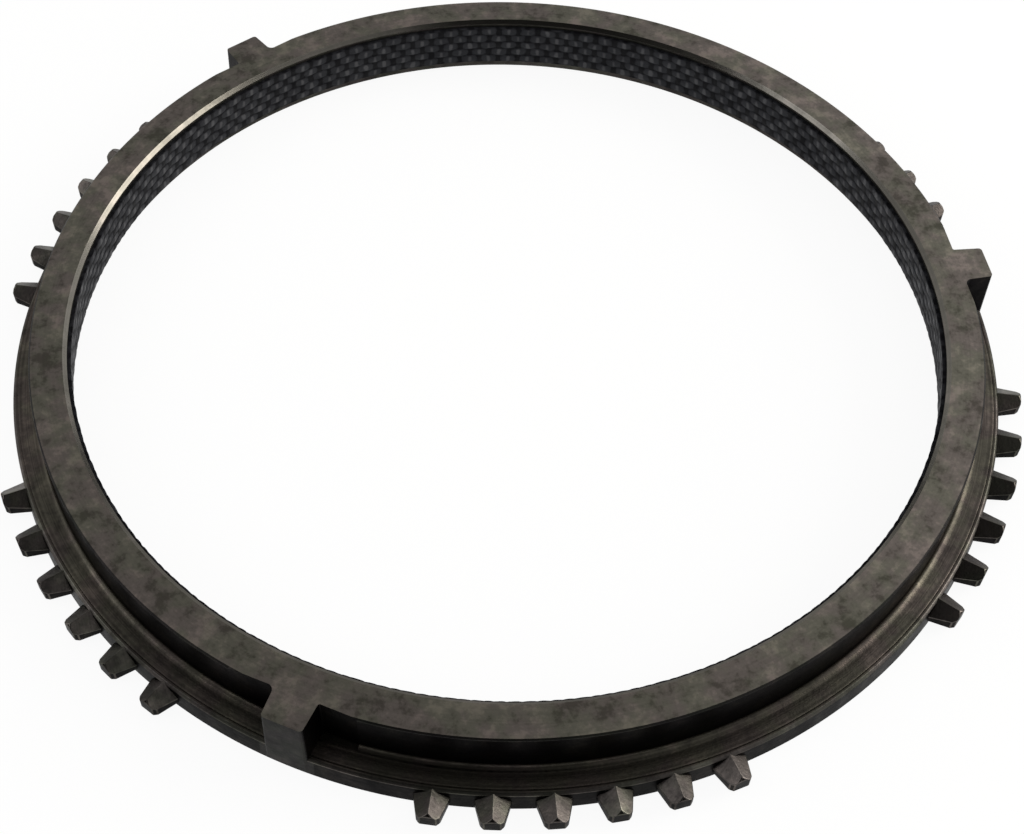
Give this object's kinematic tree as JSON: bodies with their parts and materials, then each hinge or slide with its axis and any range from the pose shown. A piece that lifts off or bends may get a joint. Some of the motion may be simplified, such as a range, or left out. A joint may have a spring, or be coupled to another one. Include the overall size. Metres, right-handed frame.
{
  "type": "synchronizer ring",
  "caption": "Steel synchronizer ring with a plain upper face, radial lugs, groups of chamfered blocking teeth around its flange and a woven friction lining in its conical bore.",
  "frame": {"origin": "on the ring's axis, in the plane of its lower face", "axes": "+Z along the axis from the wide mouth of the cone to the upper face with the lugs; +X through the middle of one lug"},
  "size_m": [0.1794, 0.185, 0.0138],
  "materials": {
    "dark_steel": "machined and lapped hardened steel, satin grey-brown",
    "woven_carbon": "woven carbon friction cloth, matt with glossy yarn crowns"
  },
  "bodies": {
    "root": {"ring_body": "dark_steel", "friction_lining": "woven_carbon"}
  },
  "joints": []
}
